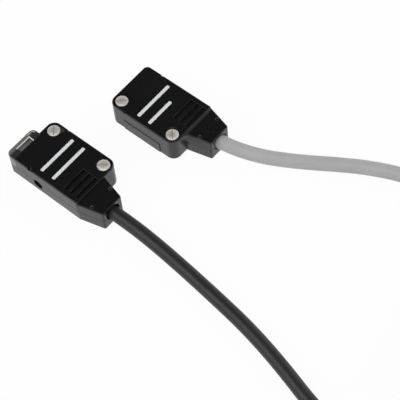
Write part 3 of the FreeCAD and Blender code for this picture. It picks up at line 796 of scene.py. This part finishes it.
# %% Lens dome and finished block
DOME_RADIUS = 0.85
DOME_SIDE = 3.45
DOME_RISE = 1.15
DOME_STEPS_ROUND = 24
DOME_STEPS_UP = 12

dome = bmesh.ops.create_uvsphere(block, u_segments=DOME_STEPS_ROUND, v_segments=DOME_STEPS_UP,
                                 radius=1)["verts"]
dome_place = Vector((block_low.x + DOME_SIDE, block_front, block_low.z + DOME_RISE))
bmesh.ops.scale(block, vec=(DOME_RADIUS, DOME_HEIGHT, DOME_RADIUS), verts=dome)
bmesh.ops.translate(block, vec=dome_place, verts=dome)
clear_block = finished(block, "receiver_clear_block", *BLOCK_FINISHES)
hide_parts("receiver_lens_block")
print("clear block with", len(clear_block.data.polygons), "faces")

# %% [markdown]
# ## Printed fields
# Each case carries two plain white fields in pad print. Pad-printed ink is a skin a few
# hundredths of a millimetre thick, so each field is a thin plate with rounded ends rather
# than a painted patch, and its edge catches the light as real ink does. Each field is given
# by its left and right ends and the middle of its height.

# %% Printed fields
INK_SKIN = 0.02
INK_HEIGHT = 0.62
INK_ROUND = 0.2
INK_ROUND_STEPS = 4
INK_FIELDS = {
    "receiver": [(-13.05, -5.25, 5.63), (-13.05, -5.35, 3.05)],
    "emitter": [(5.10, 13.05, 0.17), (5.10, 10.75, -2.28)],
}
for unit, fields in INK_FIELDS.items():
    for number, (left, right, field_middle) in enumerate(fields, 1):
        field = block_shape(Vector((left, field_middle - INK_HEIGHT / 2, CASE_TOP)),
                            Vector((right, field_middle + INK_HEIGHT / 2, CASE_TOP + INK_SKIN)))
        round_edges(field, upright_edges(field), INK_ROUND, INK_ROUND_STEPS)
        finished(field, unit + "_ink_field_" + str(number), "print")
print(sum(map(len, INK_FIELDS.values())), "printed fields")

# %% [markdown]
# ## Cables
# Each cable is one long bendy tube, so each is one NURBS curve with a round bevel. Its
# first points are the route that the photograph shows. The rest of its 2 m is put away in
# a tied coil outside the view, whose turns are more points of the same curve.

# %% Cable routes
CABLE_DIAMETER = 2.5 * MM
CABLE_HEIGHT = 0.0025
RECEIVER_EXIT = Vector((-0.01072, -0.00652, CABLE_HEIGHT))
EMITTER_EXIT = Vector((0.01072, -0.01158, CABLE_HEIGHT))
RECEIVER_ROUTE = [
    (-0.01060, -0.0113, 0.00242),
    (-0.01070, -0.0171, 0.00190),
    (-0.01120, -0.0239, 0.00140),
    (-0.01200, -0.0310, 0.00125),
    (-0.01300, -0.0382, 0.00125),
    (-0.01475, -0.0459, 0.00125),
    (-0.01735, -0.0546, 0.00125),
    (-0.01870, -0.0645, 0.00125),
    (-0.01905, -0.0748, 0.00125),
    (-0.01875, -0.0853, 0.00140),
    (-0.01815, -0.0960, 0.00185),
    (-0.01725, -0.1066, 0.00185),
]
EMITTER_ROUTE = [
    (0.01095, -0.0140, 0.00250),
    (0.01180, -0.0173, 0.00235),
    (0.01330, -0.0208, 0.00205),
    (0.01550, -0.0244, 0.00170),
    (0.01790, -0.0279, 0.00140),
    (0.02025, -0.0313, 0.00125),
    (0.02255, -0.0352, 0.00125),
    (0.02475, -0.0400, 0.00125),
    (0.02640, -0.0458, 0.00125),
    (0.02720, -0.0526, 0.00140),
    (0.02745, -0.0595, 0.00185),
    (0.02750, -0.0663, 0.00185),
]
print(len(RECEIVER_ROUTE), "and", len(EMITTER_ROUTE), "points up to the coils")

# %% [markdown]
# ### The put-away coil
# A wound coil isn't a smooth spiral: each turn is a true circle for most of its way round,
# and then steps over to the next place. All turns step in one sector, so they stay side by
# side. At the end of a layer the turn climbs instead, bulging a little so that its
# neighbours can pass, and the next layer goes back the other way. The last turn lies on top.

# %% Place of each turn
COLUMNS = 4
ROWS = 5
OUTER_TURN = 18.0 * MM
FIRST_LAYER = 1.85 * MM
STEP_SECTOR = (0.70, 0.90)
LAST_CLIMB_SECTOR = (0.45, 0.65)
CLIMB_BULGE = 0.37 * CABLE_DIAMETER
TOP_TURN_RADIUS = 14.25 * MM
TOP_TURN_HEIGHT = 14.25 * MM
TOP_TURN_DEGREES = 280.0
COIL_TURNS = COLUMNS * ROWS + TOP_TURN_DEGREES / 360


def eased(turn, sector):
    """0 before a sector of the turn, 1 after it, and a smooth change between."""
    share = min(max((turn - sector[0]) / (sector[1] - sector[0]), 0), 1)
    return share * share * (3 - 2 * share)


def column_radius(turn_index):
    """Radius of a turn: layers go inwards and outwards by turns."""
    row, place = divmod(turn_index, COLUMNS)
    if row % 2:
        place = COLUMNS - 1 - place
    return OUTER_TURN - place * CABLE_DIAMETER


def turn_place(turns):
    """Radius and height of the cable after so many turns of the coil."""
    whole = int(turns)
    part = turns - whole
    last = COLUMNS * ROWS - 1
    if whole > last:
        return TOP_TURN_RADIUS, TOP_TURN_HEIGHT
    row, place = divmod(whole, COLUMNS)
    radius = column_radius(whole)
    height = FIRST_LAYER + row * CABLE_DIAMETER
    step = eased(part, STEP_SECTOR)
    if whole == last:
        height += (TOP_TURN_HEIGHT - height) * eased(part, LAST_CLIMB_SECTOR)
        radius += (TOP_TURN_RADIUS - radius) * step
    elif place == COLUMNS - 1:
        outwards = 1 if row % 2 else -1
        height += CABLE_DIAMETER * step
        radius += outwards * CLIMB_BULGE * 4 * step * (1 - step)
    else:
        radius += (column_radius(whole + 1) - radius) * step
    return radius, height


print("a coil has", round(COIL_TURNS, 2), "turns in", ROWS, "layers and one on top")

# %% [markdown]
# ### From the route to the coil
# The coil lies at the side of the route's last point, so that the cable runs into its first
# turn without a kink. A NURBS curve cuts its corners, so the control points of a turn stand a
# little outside the circle that the cable takes.

# %% Points of a coil
RUN_ON = 11.0 * MM
TAIL_LENGTH = 3.0 * MM
POINTS_PER_TURN = 24
NURBS_INSET = (3 + math.cos(2 * math.pi / POINTS_PER_TURN)) / 4


class Coil:
    """Where a route runs on to its coil; side is 1 if it turns to the right, -1 to the left."""

    def __init__(self, route, side):
        last = Vector(route[-1])
        run = last - Vector(route[-2])
        heading = Vector((run.x, run.y, 0)).normalized()
        inwards = Vector((heading.y, -heading.x, 0)) * side
        self.side = side
        self.centre = last + heading * RUN_ON + inwards * OUTER_TURN
        self.start = math.atan2(-inwards.y, -inwards.x)

    def angle(self, turns):
        """Angle round the coil's axis after so many turns."""
        return self.start - self.side * 2 * math.pi * turns

    def at(self, turns, radius, height):
        """Point of the coil after so many turns."""
        angle = self.angle(turns)
        x = self.centre.x + radius * math.cos(angle)
        y = self.centre.y + radius * math.sin(angle)
        return Vector((x, y, height))

    def direction(self, turns):
        """Direction in which the cable runs there."""
        angle = self.angle(turns)
        return Vector((math.sin(angle), -math.cos(angle), 0)) * self.side

    def points(self):
        """Control points of all the turns, a little outside the line that the curve takes."""
        made = []
        for index in range(int(COIL_TURNS * POINTS_PER_TURN) + 1):
            turns = index / POINTS_PER_TURN
            radius, height = turn_place(turns)
            made.append(self.at(turns, radius / NURBS_INSET, height))
        tail = self.at(COIL_TURNS, TOP_TURN_RADIUS, TOP_TURN_HEIGHT)
        made.append(tail)
        made.append(tail + self.direction(COIL_TURNS) * TAIL_LENGTH)
        return made


coils = {"receiver": Coil(RECEIVER_ROUTE, -1), "emitter": Coil(EMITTER_ROUTE, 1)}
print([len(coil.points()) for coil in coils.values()], "control points in the two coils")

# %% [markdown]
# ### Jackets
# One function makes any round tube along points, for the jackets here and the cores later.

# %% Cable curves
BEVEL_STEPS = 4
JACKET_STEPS = 8


def tube(name, points, radius, finish, steps):
    """A piece of the object that is a round tube on one NURBS curve."""
    data = bpy.data.curves.new(name, "CURVE")
    data.dimensions = "3D"
    data.bevel_depth = radius
    data.bevel_resolution = BEVEL_STEPS
    data.resolution_u = steps
    data.render_resolution_u = steps
    data.use_fill_caps = True
    spline = data.splines.new("NURBS")
    spline.points.add(len(points) - 1)
    for target, point in zip(spline.points, points):
        target.co = (*point, 1.0)
    spline.order_u = 3
    spline.use_endpoint_u = True
    data.materials.append(finishes[finish])
    piece = placed(name, data)
    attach(piece, "root")
    return piece


def cable(unit, exit_point, route, finish):
    """One cable from the boot to the end of its jacket."""
    points = [exit_point, *map(Vector, route), *coils[unit].points()]
    piece = tube(unit + "_cable_jacket", points, CABLE_DIAMETER / 2, finish, JACKET_STEPS)
    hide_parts(unit + "_cable", unit + "_cable_coil", unit + "_cable_tail")
    return piece


cables = {
    "receiver": cable("receiver", RECEIVER_EXIT, RECEIVER_ROUTE, "black_jacket"),
    "emitter": cable("emitter", EMITTER_EXIT, EMITTER_ROUTE, "grey_jacket"),
}
print(len(cables), "jackets, each on its own coil")

# %% [markdown]
# ## Seal in the emitter's boot
# A dark edge runs round the grey cable where it leaves its boot, and it is taken for a thin
# rubber seal that closes the mouth. The cable has already begun to bend there and lies low in
# the mouth, so the hole is off centre: two circles are bridged into a ring, and the ring is
# drawn out to its depth.

# %% Emitter seal
MOUTH_RADIUS = 1.55
MOUTH_LIFT = 0.25
MOUTH_DEPTH = 1.4
SEAL_FRONT = 0.2
SEAL_DEPTH = 1.0
SEAL_SIDEWAYS = 0.15
SEAL_STEPS = 48

exit_mm = EMITTER_EXIT / MM
seal_front = exit_mm.y - MOUTH_DEPTH + SEAL_FRONT
facing_out = Matrix.Rotation(math.pi / 2, 4, "X")
seal_shape = bmesh.new()
for seal_radius, seal_x, seal_z in (
        (MOUTH_RADIUS, exit_mm.x, exit_mm.z + MOUTH_LIFT),
        (CABLE_DIAMETER / MM / 2, exit_mm.x + SEAL_SIDEWAYS, exit_mm.z)):
    circle_place = Matrix.Translation((seal_x, seal_front, seal_z)) @ facing_out
    bmesh.ops.create_circle(seal_shape, segments=SEAL_STEPS, radius=seal_radius, matrix=circle_place)
bmesh.ops.bridge_loops(seal_shape, edges=seal_shape.edges)
seal_drawn = bmesh.ops.extrude_face_region(seal_shape, geom=seal_shape.faces[:])["geom"]
bmesh.ops.translate(seal_shape, vec=(0, SEAL_DEPTH, 0), verts=only(bmesh.types.BMVert, seal_drawn))
seal = finished(seal_shape, "emitter_cable_seal", "seal")
print("seal with", len(seal.data.polygons), "faces")

# %% [markdown]
# ## Straps round the coils
# A nylon tie is a flat ribbon that is pulled tight through its own head. The ribbon is a
# rounded block whose two ends are inset and bridged into a tunnel, so that its wall is even.
# The head and the free end of the ribbon are small rounded blocks on its outer side.

# %% Ribbon of a strap
STRAP_WIDTH = 3.0
STRAP_SKIN = 0.5
STRAP_ROUND = 1.6
STRAP_ROUND_STEPS = 5
BUNDLE_MIDDLE = 14.25
BUNDLE_HALF_WIDTH = 5.1
BUNDLE_TOP = 13.2


def ribbon():
    """Ribbon round a bundle of turns; X leads away from the coil's axis, Y along the turn."""
    reach = BUNDLE_HALF_WIDTH + STRAP_SKIN
    shape = block_shape(Vector((BUNDLE_MIDDLE - reach, -STRAP_WIDTH / 2, 0)),
                        Vector((BUNDLE_MIDDLE + reach, STRAP_WIDTH / 2, BUNDLE_TOP + STRAP_SKIN)))
    along = [edge for edge in shape.edges
             if abs(edge.verts[0].co.y - edge.verts[1].co.y) > STRAP_WIDTH / 2]
    round_edges(shape, along, STRAP_ROUND, STRAP_ROUND_STEPS)
    ends = [face for face in shape.faces if abs(face.normal.y) > SQUARE_ON]
    bmesh.ops.inset_individual(shape, faces=ends, thickness=STRAP_SKIN)
    bmesh.ops.delete(shape, geom=ends, context="FACES_ONLY")
    rims = [edge for edge in shape.edges if edge.is_boundary]
    bmesh.ops.bridge_loops(shape, edges=rims)
    return shape


print("ribbon", STRAP_WIDTH, "mm wide round a bundle", 2 * BUNDLE_HALF_WIDTH, "mm across")

# %% Straps with their heads
STRAP_TURN = 335 / 360
TIE_HEAD = Vector((2.0, 4.2, 4.0))
TIE_HEAD_BOTTOM = 5.0
TIE_HEAD_ROUND = 0.35
FREE_END = Vector((0.5, 2.6, 5.0))
FREE_END_OUT = 0.9
FREE_END_ROUND = STRAP_SKIN / 4
ADDED_BLOCK_STEPS = 2
JOINED_BY = 0.2


def add_block(shape, low, size, rounding):
    """Adds a rounded block to a shape."""
    verts = bmesh.ops.create_cube(shape, size=1)["verts"]
    bmesh.ops.scale(shape, vec=size, verts=verts)
    bmesh.ops.translate(shape, vec=low + size / 2, verts=verts)
    edges = list({edge for vert in verts for edge in vert.link_edges})
    round_edges(shape, edges, rounding, ADDED_BLOCK_STEPS)


def strap(unit, coil):
    """A tie round a coil, with its head and its free end on the outer side."""
    shape = ribbon()
    outside = BUNDLE_MIDDLE + BUNDLE_HALF_WIDTH + STRAP_SKIN
    head_low = Vector((outside - JOINED_BY, -TIE_HEAD.y / 2, TIE_HEAD_BOTTOM))
    add_block(shape, head_low, TIE_HEAD, TIE_HEAD_ROUND)
    end_bottom = TIE_HEAD_BOTTOM + TIE_HEAD.z - JOINED_BY
    end_low = Vector((outside + FREE_END_OUT, -FREE_END.y / 2, end_bottom))
    add_block(shape, end_low, FREE_END, FREE_END_ROUND)
    bmesh.ops.rotate(shape, verts=shape.verts, cent=Vector(),
                     matrix=Matrix.Rotation(coil.angle(STRAP_TURN), 3, "Z"))
    axis = Vector((coil.centre.x, coil.centre.y, 0)) / MM
    bmesh.ops.translate(shape, vec=axis, verts=shape.verts)
    piece = finished(shape, unit + "_strap", "tie")
    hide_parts(unit + "_cable_tie")
    return piece


straps = {unit: strap(unit, coil) for unit, coil in coils.items()}
print("straps with", [len(piece.data.polygons) for piece in straps.values()], "faces")

# %% [markdown]
# ## Stripped ends
# Where the jacket stops, the insulated cores come out side by side and spring apart a little.
# Each is a short bevelled curve, whose bends lie at shares of its length.

# %% Insulated leads
CORE_PITCH = 0.76 * MM
CORE_RADIUS = 0.35 * MM
LEAD_STEPS = 12
LEAD_LENGTH = 9.0 * MM
LEAD_INSIDE = 0.1
LEAD_FIRST_BEND = 0.3
LEAD_SECOND_BEND = 0.7
LEAD_SPRING = 1.3 * MM
LEAD_EARLY_SPRING = 0.3
LEAD_SAG = {"brown": 0.15 * MM, "blue": -0.25 * MM, "black": 0.3 * MM}
CORES = {
    "receiver": {"brown": -1, "blue": 0, "black": 1},
    "emitter": {"brown": -0.5, "blue": 0.5},
}


def lead_points(coil, colour, place):
    """Route of a core from inside the jacket's end to its stripped end."""
    ahead = coil.direction(COIL_TURNS)
    across = Vector((-ahead.y, ahead.x, 0)) * place
    tail = coil.at(COIL_TURNS, TOP_TURN_RADIUS, TOP_TURN_HEIGHT)
    start = tail + ahead * TAIL_LENGTH + across * CORE_PITCH
    lift = Vector((0, 0, LEAD_SAG[colour]))
    early_spring = across * LEAD_EARLY_SPRING * LEAD_SPRING
    return [start - ahead * LEAD_INSIDE * LEAD_LENGTH,
            start + ahead * LEAD_FIRST_BEND * LEAD_LENGTH,
            start + ahead * LEAD_SECOND_BEND * LEAD_LENGTH + early_spring + lift / 2,
            start + ahead * LEAD_LENGTH + across * LEAD_SPRING + lift]


def lead(unit, colour, points):
    """One insulated core."""
    finish = colour + "_core"
    piece = tube(unit + "_core_" + colour + "_end", points, CORE_RADIUS, finish, LEAD_STEPS)
    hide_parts(unit + "_lead_" + colour)
    return piece


print({unit: len(colours) for unit, colours in CORES.items()}, "cores")

# %% [markdown]
# ### Bare copper
# The bare end of a core is a bundle of fine copper wires twisted by hand: a lobed outline is
# drawn out in steps and turned a little at each of them.

# %% Twisted copper ends
WIRES = 7
WIRE_BUNDLE = 0.2
WIRE_GROOVE = 0.78
BARE_LENGTH = 3.0
BARE_STEPS = 10
BARE_TWIST = math.radians(300)


def add_twisted_end(shape, start, ahead):
    """Adds one bare copper end from a point, in millimetres, along a direction."""
    made = bmesh.ops.create_circle(shape, cap_ends=True, segments=2 * WIRES,
                                   radius=WIRE_BUNDLE)["verts"]
    for groove in made[::2]:
        groove.co *= WIRE_GROOVE
    edges = list({edge for vert in made for edge in vert.link_edges})
    for _ in range(BARE_STEPS):
        drawn = bmesh.ops.extrude_edge_only(shape, edges=edges)["geom"]
        ring = only(bmesh.types.BMVert, drawn)
        edges = [edge for edge in only(bmesh.types.BMEdge, drawn)
                 if all(vert in ring for vert in edge.verts)]
        bmesh.ops.translate(shape, vec=(0, 0, BARE_LENGTH / BARE_STEPS), verts=ring)
        bmesh.ops.rotate(shape, verts=ring, cent=Vector(),
                         matrix=Matrix.Rotation(BARE_TWIST / BARE_STEPS, 3, "Z"))
        made += ring
    bmesh.ops.edgeloop_fill(shape, edges=edges)
    turned = ahead.to_track_quat("Z", "Y").to_matrix()
    bmesh.ops.rotate(shape, verts=made, cent=Vector(), matrix=turned)
    bmesh.ops.translate(shape, vec=start, verts=made)


print("a bare end twists", round(math.degrees(BARE_TWIST)), "degrees in", BARE_LENGTH, "mm")

# %% Ends of both cables
STRIPPED_OVERLAP = 0.3
EXITS = {"receiver": RECEIVER_EXIT, "emitter": EMITTER_EXIT}


def stripped_end(unit, coil):
    """All the cores of a cable and their bare ends."""
    pieces = []
    shape = bmesh.new()
    for colour, place in CORES[unit].items():
        points = lead_points(coil, colour, place)
        pieces.append(lead(unit, colour, points))
        ahead = (points[-1] - points[-2]).normalized()
        add_twisted_end(shape, points[-1] / MM - ahead * STRIPPED_OVERLAP, ahead)
    copper = finished(shape, unit + "_copper_ends", "copper")
    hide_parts(unit + "_lead_tips")
    return [*pieces, copper]


for unit, exit_point in EXITS.items():
    ends = stripped_end(unit, coils[unit])
